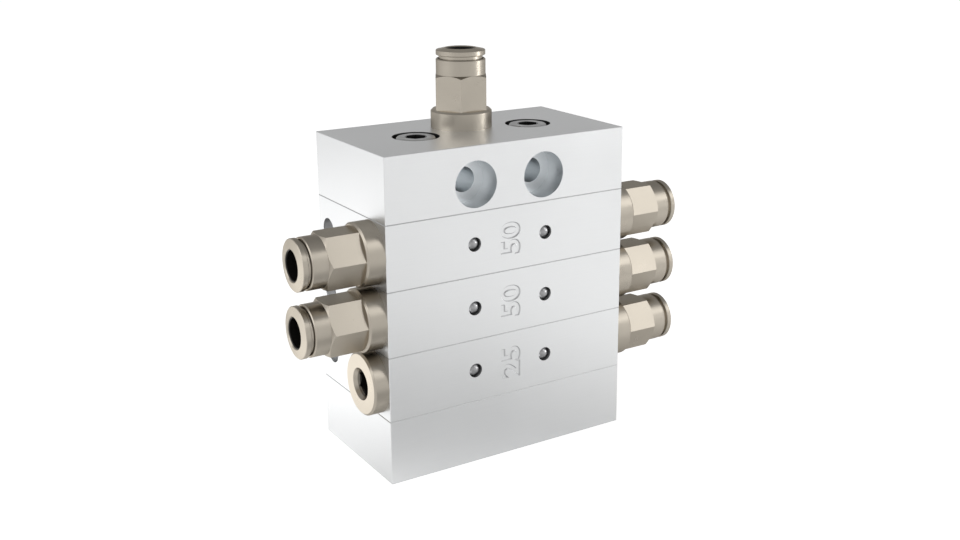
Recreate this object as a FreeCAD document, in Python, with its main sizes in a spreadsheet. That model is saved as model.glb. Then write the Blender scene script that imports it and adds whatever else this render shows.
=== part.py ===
import FreeCAD, Part

import os
import re

import Sketcher
from FreeCAD import Rotation, Vector

# Lubricant divider block: five stacked sections held by two tie screws, with one inlet and five
# outlet push-in fittings and a closure plug. Millimetres. The origin is the centre of the bottom
# face, X runs across the two port faces, Y from front to back and Z up.

BLOCK_SIZES = {
    "block_width": 59.0,
    "block_depth": 32.0,
    "inlet_height": 14.0,
    "metering_height": 14.0,
    "end_height": 14.0,
    "edge_chamfer": 0.12,
}
PORT_SIZES = {
    "port_radius": 5.0,
    "port_depth": 8.0,
    "port_chamfer": 0.2,
    "port_from_front": 6.8,
    "inlet_from_front": 20.1,
}
PASSAGE_SIZES = {
    "feed_radius": 1.5,
    "feed_link_radius": 1.0,
    "outlet_link_radius": 1.25,
    "cross_drill_radius": 1.0,
    "signal_radius": 1.0,
    "signal_from_plug": 0.3,
    "end_passage_depth": 5.0,
}
METERING_SIZES = {
    "piston_bore_radius": 2.5,
    "piston_running_gap": 0.04,
    "piston_from_back": 4.8,
    "piston_groove_radius": 1.7,
    "piston_land_overlap": 0.2,
    "piston_end_chamfer": 0.4,
    "plug_seat_radius": 2.6,
    "plug_fit_gap": 0.03,
    "plug_recess": 1.8,
    "plug_length": 4.5,
    "plug_chamfer": 0.3,
    "ball_radius": 1.5,
    "ball_hole_radius": 1.55,
    "ball_hole_depth": 2.75,
    "ball_seat_gap": 0.02,
    "ball_spacing": 17.8,
}
# Lubricant per stroke in cubic millimetres, from the upper metering section to the lower one
DISPLACEMENTS = {
    "displacement_1": 50.0,
    "displacement_2": 50.0,
    "displacement_3": 25.0,
}
TIE_SIZES = {
    "tie_spacing": 28.4,
    "tie_from_front": 15.0,
    "screw_radius": 2.5,
    "screw_hole_radius": 2.65,
    "thread_gap": 0.05,
    "thread_engagement": 9.05,
    "thread_runout": 1.0,
    "head_radius": 4.25,
    "head_height": 5.0,
    "head_recess": 0.05,
    "head_counterbore_radius": 5.05,
    "head_chamfer": 0.3,
    "screw_socket_width": 4.0,
    "screw_socket_depth": 2.5,
}
MOUNTING_SIZES = {
    "mount_spacing": 16.8,
    "mount_from_top": 8.2,
    "mount_bore_radius": 2.75,
    "mount_counterbore_radius": 5.0,
    "mount_counterbore_depth": 5.5,
}
# Stations along a fitting count outwards from the face that its collar seats on
FITTING_SIZES = {
    "stud_radius": 4.9,
    "stud_length": 7.0,
    "stud_chamfer": 0.6,
    "collar_radius": 6.75,
    "collar_height": 4.0,
    "collar_chamfer": 0.4,
    "hex_width": 11.0,
    "hex_end": 11.7,
    "hex_chamfer_slope": 0.65,
    "sleeve_radius": 5.45,
    "sleeve_end": 15.1,
    "sleeve_edge": 0.2,
    "stem_bore_radius": 2.0,
    "tube_radius": 3.0,
    "tube_gap": 0.08,
    "tube_stop": 4.6,
    "chamber_start": 6.4,
    "chamber_radius": 4.5,
    "lip_start": 12.7,
    "lip_length": 1.1,
    "mouth_radius": 5.05,
}
RELEASE_RING_SIZES = {
    "ring_running_gap": 0.08,
    "ring_wall": 0.8,
    "ring_tip": 10.2,
    "ring_tip_chamfer": 0.35,
    "barb_height": 0.45,
    "barb_length": 0.9,
    "barb_gap": 0.1,
    "neck_start": 15.0,
    "neck_radius": 4.8,
    "flange_start": 15.85,
    "flange_radius": 5.42,
    "flange_edge": 0.12,
    "flange_thickness": 1.15,
    "fitting_length": 17.4,
    "ring_mouth_radius": 3.45,
    "ring_slot_width": 0.7,
    "ring_slot_end": 14.0,
}
GRIP_AND_SEAL_SIZES = {
    "grip_station": 9.0,
    "grip_thickness": 0.25,
    "grip_rim_radius": 3.7,
    "grip_tooth_drop": 0.45,
    "grip_slot_width": 0.6,
    "seal_fit_gap": 0.02,
    "tube_seal_cord": 1.6,
    "tube_seal_station": 7.3,
    "base_seal_inner": 5.25,
    "base_seal_outer": 6.0,
    "base_seal_height": 0.8,
    "interface_seal_height": 1.0,
    "interface_seal_wall": 1.0,
    "feed_seal_outer": 2.9,
    "signal_seal_outer": 2.5,
}
CLOSURE_SIZES = {
    "closure_height": 3.3,
    "closure_mouth_radius": 3.45,
    "closure_cone_depth": 1.5,
    "closure_socket_width": 5.0,
    "closure_socket_depth": 5.0,
}
# What follows from the driving sizes above, as formulas of the sheet
DERIVED_SIZES = {
    "half_width": "block_width / 2",
    "half_depth": "block_depth / 2",
    "port_y": "port_from_front - half_depth",
    "inlet_y": "inlet_from_front - half_depth",
    "tie_x": "tie_spacing / 2",
    "tie_y": "tie_from_front - half_depth",
    "ball_x": "ball_spacing / 2",
    "piston_y": "half_depth - piston_from_back",
    "piston_radius": "piston_bore_radius - piston_running_gap",
    "chamber_half_length": "half_width - plug_recess - plug_length",
    "signal_x": "chamber_half_length - signal_from_plug - signal_radius",
    "bore_area": "pi * piston_bore_radius * piston_bore_radius",
    "top_level": "end_height + 3 * metering_height + inlet_height",
    "head_seat_depth": "head_height + head_recess",
    "screw_length": "top_level - head_seat_depth - end_height + thread_engagement",
    "thread_depth": "thread_engagement + thread_runout",
    "hex_corner_radius": "hex_width / sqrt(3)",
    "hex_clear_radius": "hex_corner_radius + collar_chamfer",
    "tube_bore_radius": "tube_radius + tube_gap",
    "ring_outer_radius": "tube_bore_radius + ring_wall",
    "lip_radius": "ring_outer_radius + ring_running_gap",
    "barb_end": "lip_start - barb_gap",
    "barb_radius": "ring_outer_radius + barb_height",
    "flange_end": "flange_start + flange_thickness",
    "closure_socket_corner": "closure_socket_width / sqrt(3)",
    "screw_socket_corner": "screw_socket_width / sqrt(3)",
}
SIZE_GROUPS = (
    BLOCK_SIZES,
    PORT_SIZES,
    PASSAGE_SIZES,
    METERING_SIZES,
    DISPLACEMENTS,
    TIE_SIZES,
    MOUNTING_SIZES,
    FITTING_SIZES,
    RELEASE_RING_SIZES,
    GRIP_AND_SEAL_SIZES,
    CLOSURE_SIZES,
    DERIVED_SIZES,
)

# Types of feature that take material away, and the least cubic millimetres that such a cut removes
CUTTING_TYPES = ("Subtractive", "Groove", "Mirrored", "PolarPattern")
LEAST_CUT = 1e-3

METERING_COUNT = 3
RING_SLOT_COUNT = 4
GRIP_SLOT_COUNT = 8

# Directions that a fitting or plug points in: its local Z, and where its hexagon's corner points
OUT_LEFT = Rotation(Vector(0, 1, 0), Vector(0, 0, -1), Vector(-1, 0, 0), "ZXY")
OUT_RIGHT = Rotation(Vector(0, 1, 0), Vector(0, 0, 1), Vector(1, 0, 0), "ZXY")
OUT_UP = Rotation()
FLAT_ON_X = Rotation(Vector(0, 0, 1), 30)
AXIS_TURNS = {
    "+X": Rotation(Vector(0, 0, 1), Vector(1, 0, 0)),
    "-X": Rotation(Vector(0, 0, 1), Vector(-1, 0, 0)),
    "+Y": Rotation(Vector(0, 0, 1), Vector(0, 1, 0)),
    "+Z": Rotation(),
    "-Z": Rotation(Vector(1, 0, 0), 180),
}

doc = FreeCAD.newDocument("lubricant_divider_block")


def write_sheet():
    """The sheet of sizes: meaning in column A, value or formula in column B."""
    sheet = doc.addObject("Spreadsheet::Sheet", "sizes")
    row = 1
    for group in SIZE_GROUPS:
        for alias, value in group.items():
            sheet.set(f"A{row}", alias.replace("_", " "))
            sheet.set(f"B{row}", f"={value}" if group is DERIVED_SIZES else str(value))
            sheet.setAlias(f"B{row}", alias)
            row += 1
    doc.recompute()
    return sheet


sizes = write_sheet()
ALIASES = {alias for group in SIZE_GROUPS for alias in group}


def sized(formula):
    """The formula with every size in it written as a cell of the sheet."""
    return re.sub(r"[a-z_][a-z_0-9]*", lambda w: f"sizes.{w[0]}" if w[0] in ALIASES else w[0], formula)


def value_of(formula):
    """The present number of a formula of sizes."""
    return float(sizes.evalExpression(formula))


def bind(feature, formulas):
    """Binds each named property of the feature to a formula of sizes."""
    for name, formula in formulas.items():
        feature.setExpression(name, sized(formula))


def place(feature, point=("0", "0", "0"), turn=None):
    """Puts the feature's local origin at the point, given as three formulas, after the turn."""
    if turn is not None:
        feature.Placement = FreeCAD.Placement(Vector(), turn)
    for axis, formula in zip("xyz", point):
        if formula != "0":
            feature.setExpression(f"Placement.Base.{axis}", sized(formula))


def new_body(label):
    """An empty body that becomes one sub-part."""
    body = doc.addObject("PartDesign::Body", label)
    body.Label = label
    return body


def origin_plane(body, role):
    """The body's own origin plane with that role."""
    return [f for f in body.Origin.OriginFeatures if f.Role == role][0]


def profile_sketch(body, name, points):
    """A closed outline on the body's XZ plane through points (radius, station), each bound to the sheet."""
    sketch = body.newObject("Sketcher::SketchObject", f"{name}_profile")
    sketch.AttachmentSupport = [(origin_plane(body, "XZ_Plane"), "")]
    sketch.MapMode = "FlatFace"
    corners = [Vector(value_of(r), value_of(s), 0) for r, s in points]
    for i, corner in enumerate(corners):
        sketch.addGeometry(Part.LineSegment(corner, corners[(i + 1) % len(corners)]), False)
    for i, (radius, station) in enumerate(points):
        sketch.addConstraint(Sketcher.Constraint("Coincident", i - 1 if i else len(points) - 1, 2, i, 1))
        bind_coordinate(sketch, "DistanceX", -2, i, radius)
        bind_coordinate(sketch, "DistanceY", -1, i, station)
    return sketch


def bind_coordinate(sketch, kind, axis, line, formula):
    """Ties one coordinate of a line's start to a formula, or puts it on the axis where it is zero."""
    if formula == "0":
        sketch.addConstraint(Sketcher.Constraint("PointOnObject", line, 1, axis))
        return
    index = sketch.addConstraint(Sketcher.Constraint(kind, -1, 1, line, 1, value_of(formula)))
    sketch.setExpression(f"Constraints[{index}]", sized(formula))


def turned(body, name, points, cut=False):
    """A full revolution of the outline about the body's Z axis, added or cut away."""
    sketch = profile_sketch(body, name, points)
    kind = "PartDesign::Groove" if cut else "PartDesign::Revolution"
    feature = body.newObject(kind, name)
    feature.Profile = sketch
    feature.ReferenceAxis = (sketch, ["V_Axis"])
    feature.Angle = 360
    sketch.Visibility = False
    return feature


def drill(body, name, start, toward, radius, depth):
    """A round hole from the start point, along the named direction."""
    hole = body.newObject("PartDesign::SubtractiveCylinder", name)
    bind(hole, {"Radius": radius, "Height": depth})
    place(hole, start, AXIS_TURNS[toward])
    return hole


def countersink(body, name, start, toward, radius, chamfer):
    """The small cone that breaks the edge of a hole of that radius."""
    cone = body.newObject("PartDesign::SubtractiveCone", name)
    bind(cone, {"Radius1": f"{radius} + {chamfer}", "Radius2": radius, "Height": chamfer})
    place(cone, start, AXIS_TURNS[toward])
    return cone


def hexagon(body, name, kind, corner_radius, height, base, turn=None):
    """A hexagonal prism about the body's Z axis, added or cut away, a corner on local X if not turned."""
    prism = body.newObject(f"PartDesign::{kind}Prism", name)
    prism.Polygon = 6
    bind(prism, {"Circumradius": corner_radius, "Height": height})
    place(prism, ("0", "0", base), turn)
    return prism


def mirror_to_right(body, feature):
    """Repeats a left-hand feature on the other side of the body's YZ plane."""
    mirror = body.newObject("PartDesign::Mirrored", f"{feature.Name}_right")
    mirror.Originals = [feature]
    mirror.MirrorPlane = (origin_plane(body, "YZ_Plane"), [""])
    body.Tip = mirror
    return mirror


def drill_pair(body, name, start, toward, radius, depth):
    """A left-hand hole and its mirror image on the right."""
    mirror_to_right(body, drill(body, name, start, toward, radius, depth))


def repeat_around(body, name, feature, count):
    """Repeats the feature evenly about the body's Z axis."""
    pattern = body.newObject("PartDesign::PolarPattern", name)
    pattern.Originals = [feature]
    axis = [f for f in body.Origin.OriginFeatures if f.Role == "Z_Axis"][0]
    pattern.Axis = (axis, [""])
    pattern.Angle = 360
    pattern.Occurrences = count
    body.Tip = pattern
    return pattern


def section_stock(body, height):
    """The section's rectangular slab with every edge broken."""
    stock = body.newObject("PartDesign::AdditiveBox", f"{body.Name}_stock")
    bind(stock, {"Length": "block_width", "Width": "block_depth", "Height": height})
    place(stock, ("-half_width", "-half_depth", "0"))
    doc.recompute()
    edges = [f"Edge{i + 1}" for i in range(len(stock.Shape.Edges))]
    chamfer = body.newObject("PartDesign::Chamfer", f"{body.Name}_edges")
    chamfer.Base = (stock, edges)
    bind(chamfer, {"Size": "edge_chamfer"})
    return chamfer


def seal_recesses(body, height):
    """The round recesses in the section's top face for the seals round its three passages."""
    drill(body, f"{body.Name}_feed_recess", ("0", "inlet_y", height), "-Z",
          "feed_seal_outer", "interface_seal_height")
    drill_pair(body, f"{body.Name}_signal_recess", ("-signal_x", "piston_y", height), "-Z",
               "signal_seal_outer", "interface_seal_height")


def make_inlet_section():
    """The top slab: inlet port, feed passage, mounting holes and the seats of the screw heads."""
    body = new_body("inlet_section")
    top = "inlet_height"
    section_stock(body, top)
    drill(body, "inlet_port", ("0", "inlet_y", top), "-Z", "port_radius", "port_depth")
    countersink(body, "inlet_port_edge", ("0", "inlet_y", top), "-Z", "port_radius", "port_chamfer")
    drill(body, "inlet_feed", ("0", "inlet_y", "0"), "+Z", "feed_radius", "inlet_height - port_depth")
    tie_point = ("-tie_x", "tie_y", top)
    mount_point = ("-mount_spacing / 2", "-half_depth", "inlet_height - mount_from_top")
    drill_pair(body, "tie_hole", tie_point, "-Z", "screw_hole_radius", top)
    drill_pair(body, "head_counterbore", tie_point, "-Z", "head_counterbore_radius", "head_seat_depth")
    drill_pair(body, "mounting_hole", mount_point, "+Y", "mount_bore_radius", "block_depth")
    drill_pair(body, "mounting_counterbore", mount_point, "+Y",
               "mount_counterbore_radius", "mount_counterbore_depth")
    place(body, ("0", "0", "end_height + 3 * metering_height"))
    return body


def make_metering_section(number):
    """One metering slab: two outlet ports, the piston bore across it and the drillings that join them."""
    body = new_body(f"metering_section_{number}")
    height = "metering_height"
    middle = "metering_height / 2"
    section_stock(body, height)
    drill(body, f"piston_bore_{number}", ("-half_width", "piston_y", middle), "+X",
          "piston_bore_radius", "block_width")
    drill(body, f"feed_{number}", ("0", "inlet_y", "0"), "+Z", "feed_radius", height)
    drill(body, f"feed_link_{number}", ("0", "inlet_y", middle), "+Y",
          "feed_link_radius", "piston_y - inlet_y")
    port_point = ("-half_width", "port_y", middle)
    ball_point = ("-ball_x", "-half_depth", middle)
    drill_pair(body, f"outlet_port_{number}", port_point, "+X", "port_radius", "port_depth")
    mirror_to_right(body, countersink(body, f"outlet_edge_{number}", port_point, "+X",
                                      "port_radius", "port_chamfer"))
    drill_pair(body, f"outlet_link_{number}", port_point, "+X", "outlet_link_radius",
               "half_width - ball_x")
    drill_pair(body, f"plug_seat_{number}", ("-half_width", "piston_y", middle), "+X",
               "plug_seat_radius", "plug_recess + plug_length")
    drill_pair(body, f"cross_drill_{number}", ball_point, "+Y", "cross_drill_radius",
               "half_depth + piston_y")
    drill_pair(body, f"ball_hole_{number}", ball_point, "+Y", "ball_hole_radius", "ball_hole_depth")
    drill_pair(body, f"signal_{number}", ("-signal_x", "piston_y", "0"), "+Z", "signal_radius", height)
    drill_pair(body, f"tie_hole_{number}", ("-tie_x", "tie_y", "0"), "+Z", "screw_hole_radius", height)
    seal_recesses(body, height)
    place(body, ("0", "0", section_level(number)))
    return body


def make_end_section():
    """The bottom slab: threaded holes for the tie screws and the closed ends of the passages."""
    body = new_body("end_section")
    top = "end_height"
    section_stock(body, top)
    drill(body, "end_feed", ("0", "inlet_y", top), "-Z", "feed_radius", "end_passage_depth")
    drill_pair(body, "end_signal", ("-signal_x", "piston_y", top), "-Z", "signal_radius",
               "end_passage_depth")
    drill_pair(body, "tie_thread", ("-tie_x", "tie_y", top), "-Z", "screw_radius + thread_gap",
               "thread_depth")
    seal_recesses(body, top)
    return body


def section_level(number):
    """Formula of a metering section's lower face, counted from the upper section down."""
    return f"end_height + {METERING_COUNT - number} * metering_height"


def port_level(number):
    """Formula of the height of a metering section's ports."""
    return f"{section_level(number)} + metering_height / 2"


def make_tie_screw(side, sign):
    """A socket head cap screw, modelled head up with the seat of its head at its local origin."""
    body = new_body(f"tie_screw_{side}")
    turned(body, f"tie_screw_turned_{side}", [
        ("0", "-screw_length"),
        ("screw_radius - head_chamfer", "-screw_length"),
        ("screw_radius", "head_chamfer - screw_length"),
        ("screw_radius", "0"),
        ("head_radius", "0"),
        ("head_radius", "head_height - head_chamfer"),
        ("head_radius - head_chamfer", "head_height"),
        ("0", "head_height"),
    ])
    hexagon(body, f"tie_screw_socket_{side}", "Subtractive", "screw_socket_corner",
            "screw_socket_depth", "head_height - screw_socket_depth")
    place(body, (f"{sign} * tie_x", "tie_y", "top_level - head_seat_depth"))
    return body


def make_piston(number):
    """A spool with two annular grooves, as long as its displacement leaves room for."""
    body = new_body(f"metering_piston_{number}")
    stroke = f"displacement_{number} / bore_area"
    half = f"(chamber_half_length - {stroke} / 2)"
    inner = "(feed_link_radius + piston_land_overlap)"
    outer = "(ball_x - cross_drill_radius - piston_land_overlap)"
    upper = [
        ("piston_radius", inner),
        ("piston_groove_radius", inner),
        ("piston_groove_radius", outer),
        ("piston_radius", outer),
        ("piston_radius", f"{half} - piston_end_chamfer"),
        ("piston_radius - piston_end_chamfer", half),
        ("0", half),
    ]
    lower = [(radius, "0" if station == "0" else f"-({station})") for radius, station in reversed(upper)]
    turned(body, f"piston_turned_{number}", lower + upper)
    place(body, ("0", "piston_y", port_level(number)), AXIS_TURNS["+X"])
    return body


def make_end_plugs(number):
    """The two turned plugs that close a piston bore, as one node."""
    radius = "plug_seat_radius - plug_fit_gap"
    plugs = []
    for side, sign, inward in (("left", "-", "+X"), ("right", "", "-X")):
        plug = new_body(f"bore_plug_{number}_{side}")
        turned(plug, f"bore_plug_turned_{number}_{side}", [
            ("0", "0"),
            (f"{radius} - plug_chamfer", "0"),
            (radius, "plug_chamfer"),
            (radius, "plug_length - plug_chamfer"),
            (f"{radius} - plug_chamfer", "plug_length"),
            ("0", "plug_length"),
        ])
        place(plug, (f"{sign}(half_width - plug_recess)", "piston_y", port_level(number)),
              AXIS_TURNS[inward])
        plugs.append(plug)
    return grouped(f"bore_plugs_{number}", plugs)


def make_sealing_balls(number):
    """The two pressed-in balls that close a metering section's cross drillings, as one node."""
    seat = "sqrt(ball_radius * ball_radius - cross_drill_radius * cross_drill_radius)"
    centre = f"ball_hole_depth - {seat} - ball_seat_gap - half_depth"
    balls = []
    for side, sign in (("left", "-"), ("right", "")):
        ball = doc.addObject("Part::Sphere", f"sealing_ball_{number}_{side}")
        bind(ball, {"Radius": "ball_radius"})
        place(ball, (f"{sign}ball_x", centre, port_level(number)))
        balls.append(ball)
    return grouped(f"sealing_balls_{number}", balls)


def flat_ring(name, outer, wall, height, point):
    """A seal ring of rectangular section with its axis up."""
    ring = doc.addObject("Part::Cylinder", f"{name}_outside")
    bind(ring, {"Radius": outer, "Height": height})
    hole = doc.addObject("Part::Cylinder", f"{name}_inside")
    bind(hole, {"Radius": f"{outer} - {wall}", "Height": height})
    cut = doc.addObject("Part::Cut", name)
    cut.Base = ring
    cut.Tool = hole
    place(cut, point)
    return cut


def make_interface_seals(number, level):
    """The three seals that lie in the recesses of one joint face, as one node."""
    height = "interface_seal_height - seal_fit_gap"
    floor = f"{level} - interface_seal_height"
    rings = [flat_ring(f"feed_seal_{number}", "feed_seal_outer - seal_fit_gap", "interface_seal_wall",
                       height, ("0", "inlet_y", floor))]
    for side, sign in (("left", "-"), ("right", "")):
        rings.append(flat_ring(f"signal_seal_{number}_{side}", "signal_seal_outer - seal_fit_gap",
                               "interface_seal_wall", height, (f"{sign}signal_x", "piston_y", floor)))
    return grouped(f"interface_seals_{number}", rings)


def grouped(label, members):
    """Several like pieces as one sub-part of separate solids."""
    group = doc.addObject("Part::Compound", label)
    group.Label = label
    group.Links = members
    return group


def make_fitting_body(name, point, turn):
    """A push-in fitting's body: stud, collar, chamfered hexagon, round sleeve and its stepped bore."""
    body = new_body(f"{name}_body")
    turned(body, f"{name}_outside", [
        ("0", "-stud_length"),
        ("stud_radius - stud_chamfer", "-stud_length"),
        ("stud_radius", "stud_chamfer - stud_length"),
        ("stud_radius", "0"),
        ("collar_radius", "0"),
        ("collar_radius", "collar_height - collar_chamfer"),
        ("collar_radius - collar_chamfer", "collar_height"),
        ("sleeve_radius", "collar_height"),
        ("sleeve_radius", "sleeve_end - sleeve_edge"),
        ("sleeve_radius - sleeve_edge", "sleeve_end"),
        ("0", "sleeve_end"),
    ])
    hexagon(body, f"{name}_hexagon", "Additive", "hex_corner_radius", "hex_end - collar_height",
            "collar_height")
    turned(body, f"{name}_hexagon_chamfer", [
        ("sleeve_radius", "hex_end"),
        ("hex_clear_radius", "hex_end"),
        ("hex_clear_radius", "hex_end - hex_chamfer_slope * (hex_clear_radius - sleeve_radius)"),
    ], cut=True)
    turned(body, f"{name}_bore", [
        ("0", "-stud_length"),
        ("stem_bore_radius", "-stud_length"),
        ("stem_bore_radius", "tube_stop"),
        ("tube_bore_radius", "tube_stop"),
        ("tube_bore_radius", "chamber_start"),
        ("chamber_radius", "chamber_start"),
        ("chamber_radius", "lip_start"),
        ("lip_radius", "lip_start"),
        ("lip_radius", "lip_start + lip_length"),
        ("mouth_radius", "lip_start + lip_length"),
        ("mouth_radius", "sleeve_end"),
        ("0", "sleeve_end"),
    ], cut=True)
    cut_base_seal_groove(body, name)
    place(body, point, turn)
    return body


def cut_base_seal_groove(body, name):
    """The groove under a collar that holds its seal."""
    turned(body, f"{name}_seal_groove", [
        ("base_seal_inner", "0"),
        ("base_seal_outer", "0"),
        ("base_seal_outer", "base_seal_height"),
        ("base_seal_inner", "base_seal_height"),
    ], cut=True)


def make_release_ring(name, point, turn):
    """The ring that frees the tube: flange, neck and a slotted collet with a barb behind the lip."""
    body = new_body(f"{name}_release_ring")
    turned(body, f"{name}_ring_turned", [
        ("tube_bore_radius", "ring_tip"),
        ("ring_outer_radius - ring_tip_chamfer", "ring_tip"),
        ("ring_outer_radius", "ring_tip + ring_tip_chamfer"),
        ("ring_outer_radius", "barb_end - barb_length"),
        ("barb_radius", "barb_end - barb_length + barb_height"),
        ("barb_radius", "barb_end"),
        ("ring_outer_radius", "barb_end"),
        ("ring_outer_radius", "neck_start"),
        ("neck_radius", "neck_start"),
        ("neck_radius", "flange_start"),
        ("flange_radius - flange_edge", "flange_start"),
        ("flange_radius", "flange_start + flange_edge"),
        ("flange_radius", "flange_end - flange_edge"),
        ("flange_radius - flange_edge", "flange_end"),
        ("ring_mouth_radius", "fitting_length"),
        ("tube_bore_radius", "fitting_length - (ring_mouth_radius - tube_bore_radius)"),
    ])
    slot = body.newObject("PartDesign::SubtractiveBox", f"{name}_collet_slot")
    bind(slot, {"Length": "barb_radius", "Width": "ring_slot_width", "Height": "ring_slot_end - ring_tip"})
    place(slot, ("0", "-ring_slot_width / 2", "ring_tip"))
    repeat_around(body, f"{name}_collet_slots", slot, RING_SLOT_COUNT)
    place(body, point, turn)
    return body


def make_grip_ring(name, point, turn):
    """The spring steel washer whose inclined teeth hold the tube."""
    body = new_body(f"{name}_grip_ring")
    turned(body, f"{name}_grip_turned", [
        ("tube_radius", "grip_station - grip_thickness - grip_tooth_drop"),
        ("grip_rim_radius", "grip_station - grip_thickness"),
        ("chamber_radius - seal_fit_gap", "grip_station - grip_thickness"),
        ("chamber_radius - seal_fit_gap", "grip_station"),
        ("grip_rim_radius", "grip_station"),
        ("tube_radius", "grip_station - grip_tooth_drop"),
    ])
    slot = body.newObject("PartDesign::SubtractiveBox", f"{name}_grip_slot")
    bind(slot, {"Length": "grip_rim_radius", "Width": "grip_slot_width",
                "Height": "2 * grip_tooth_drop + 2 * grip_thickness"})
    place(slot, ("0", "-grip_slot_width / 2", "grip_station - 2 * grip_tooth_drop - grip_thickness"))
    repeat_around(body, f"{name}_grip_slots", slot, GRIP_SLOT_COUNT)
    place(body, point, turn)
    return body


def make_tube_seal(name, point, turn):
    """The ring of round section that seals on the tube."""
    seal = doc.addObject("Part::Torus", f"{name}_tube_seal_ring")
    bind(seal, {"Radius1": "chamber_radius - seal_fit_gap - tube_seal_cord / 2",
                "Radius2": "tube_seal_cord / 2"})
    place(seal, ("0", "0", "tube_seal_station"))
    group = grouped(f"{name}_tube_seal", [seal])
    place(group, point, turn)
    return group


def make_base_seal(name, point, turn):
    """The flat seal in the groove under a collar."""
    ring = flat_ring(f"{name}_base_seal_ring", "base_seal_outer - seal_fit_gap",
                     "(base_seal_outer - base_seal_inner - 2 * seal_fit_gap)",
                     "base_seal_height - seal_fit_gap", ("0", "0", "0"))
    group = grouped(f"{name}_base_seal", [ring])
    place(group, point, turn)
    return group


def make_fitting(name, point, turn):
    """All pieces of one push-in fitting, its collar seated at the point."""
    return [
        make_fitting_body(name, point, turn),
        make_release_ring(name, point, turn),
        make_grip_ring(name, point, turn),
        make_tube_seal(name, point, turn),
        make_base_seal(name, point, turn),
    ]


def make_closure_plug(point, turn):
    """The screw plug that closes the unused port, with a hexagon socket below a coned mouth."""
    body = new_body("closure_plug")
    turned(body, "closure_plug_turned", [
        ("0", "-stud_length"),
        ("stud_radius - stud_chamfer", "-stud_length"),
        ("stud_radius", "stud_chamfer - stud_length"),
        ("stud_radius", "0"),
        ("collar_radius", "0"),
        ("collar_radius", "closure_height - collar_chamfer"),
        ("collar_radius - collar_chamfer", "closure_height"),
        ("0", "closure_height"),
    ])
    turned(body, "closure_plug_mouth", [
        ("0", "closure_height - closure_cone_depth"),
        ("closure_socket_width / 2", "closure_height - closure_cone_depth"),
        ("closure_mouth_radius", "closure_height"),
        ("0", "closure_height"),
    ], cut=True)
    hexagon(body, "closure_plug_socket", "Subtractive", "closure_socket_corner",
            "closure_socket_depth", "closure_height - closure_socket_depth", FLAT_ON_X)
    cut_base_seal_groove(body, "closure_plug")
    place(body, point, turn)
    return body


def make_parts():
    """Every sub-part of the divider block."""
    parts = [make_inlet_section(), make_end_section()]
    parts += [make_tie_screw("left", "-1"), make_tie_screw("right", "1")]
    for number in range(1, METERING_COUNT + 1):
        parts.append(make_metering_section(number))
        parts.append(make_piston(number))
        parts.append(make_end_plugs(number))
        parts.append(make_sealing_balls(number))
        parts.append(make_interface_seals(number, f"{section_level(number)} + metering_height"))
        right = ("half_width", "port_y", port_level(number))
        parts += make_fitting(f"right_fitting_{number}", right, OUT_RIGHT)
        left = ("-half_width", "port_y", port_level(number))
        if number < METERING_COUNT:
            parts += make_fitting(f"left_fitting_{number}", left, OUT_LEFT)
        else:
            parts.append(make_closure_plug(left, OUT_LEFT))
            parts.append(make_base_seal("closure_plug", left, OUT_LEFT))
    parts.append(make_interface_seals(METERING_COUNT + 1, "end_height"))
    parts += make_fitting("inlet_fitting", ("0", "inlet_y", "top_level"), OUT_UP)
    return parts


def check_features():
    """Stops where a feature failed, or where a cut or a repeated cut took nothing away."""
    for feature in doc.Objects:
        if {"Invalid", "Error"} & set(feature.State):
            raise ValueError(f"{feature.Name} failed: {feature.State}")
        if any(word in feature.TypeId for word in CUTTING_TYPES):
            if feature.Shape.Volume > feature.BaseFeature.Shape.Volume - LEAST_CUT:
                raise ValueError(f"{feature.Name} cuts nothing")


def write_parts(parts):
    """Writes each sub-part to its own file and lists its solids and volume."""
    os.makedirs("parts", exist_ok=True)
    for part in parts:
        shape = part.Shape
        if shape.isNull() or not shape.isValid():
            raise ValueError(f"{part.Label} has no valid shape")
        shape.exportStep(os.path.join("parts", f"{part.Label}.step"))
        print(f"{part.Label}: {len(shape.Solids)} solid, {shape.Volume:.2f} cubic mm")


def main():
    """Builds the document, checks it and writes the sub-parts."""
    parts = make_parts()
    doc.recompute()
    check_features()
    write_parts(parts)
    print(f"{len(parts)} sub-parts")


main()
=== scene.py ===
"""Dresses the lubricant divider block: finishes, engraved numbers, studio and camera."""

from __future__ import annotations

import logging
import math
from dataclasses import dataclass, field
from enum import Enum
from typing import TypeAlias

import bmesh
import bpy
from mathutils import Matrix, Vector

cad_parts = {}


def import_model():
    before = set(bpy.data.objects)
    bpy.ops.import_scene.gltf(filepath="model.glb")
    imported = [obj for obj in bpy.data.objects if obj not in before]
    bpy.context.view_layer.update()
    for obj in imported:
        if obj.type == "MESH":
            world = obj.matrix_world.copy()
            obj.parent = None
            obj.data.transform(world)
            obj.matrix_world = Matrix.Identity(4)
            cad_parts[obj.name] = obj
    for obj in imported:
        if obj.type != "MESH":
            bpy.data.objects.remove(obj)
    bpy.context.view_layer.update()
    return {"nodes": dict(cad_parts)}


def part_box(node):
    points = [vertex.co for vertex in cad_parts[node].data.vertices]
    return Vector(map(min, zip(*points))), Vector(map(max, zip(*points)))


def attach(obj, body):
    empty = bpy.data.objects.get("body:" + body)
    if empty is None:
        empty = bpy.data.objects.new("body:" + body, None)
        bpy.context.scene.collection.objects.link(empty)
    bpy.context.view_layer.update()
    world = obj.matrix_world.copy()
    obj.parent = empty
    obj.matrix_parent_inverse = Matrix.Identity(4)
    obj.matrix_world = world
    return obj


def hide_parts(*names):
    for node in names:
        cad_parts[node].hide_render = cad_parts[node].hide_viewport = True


LOG = logging.getLogger("divider_block")
MM = 0.001
NOISE_SPAN = (0.3, 0.7)  # most of a noise's values lie between these

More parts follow.
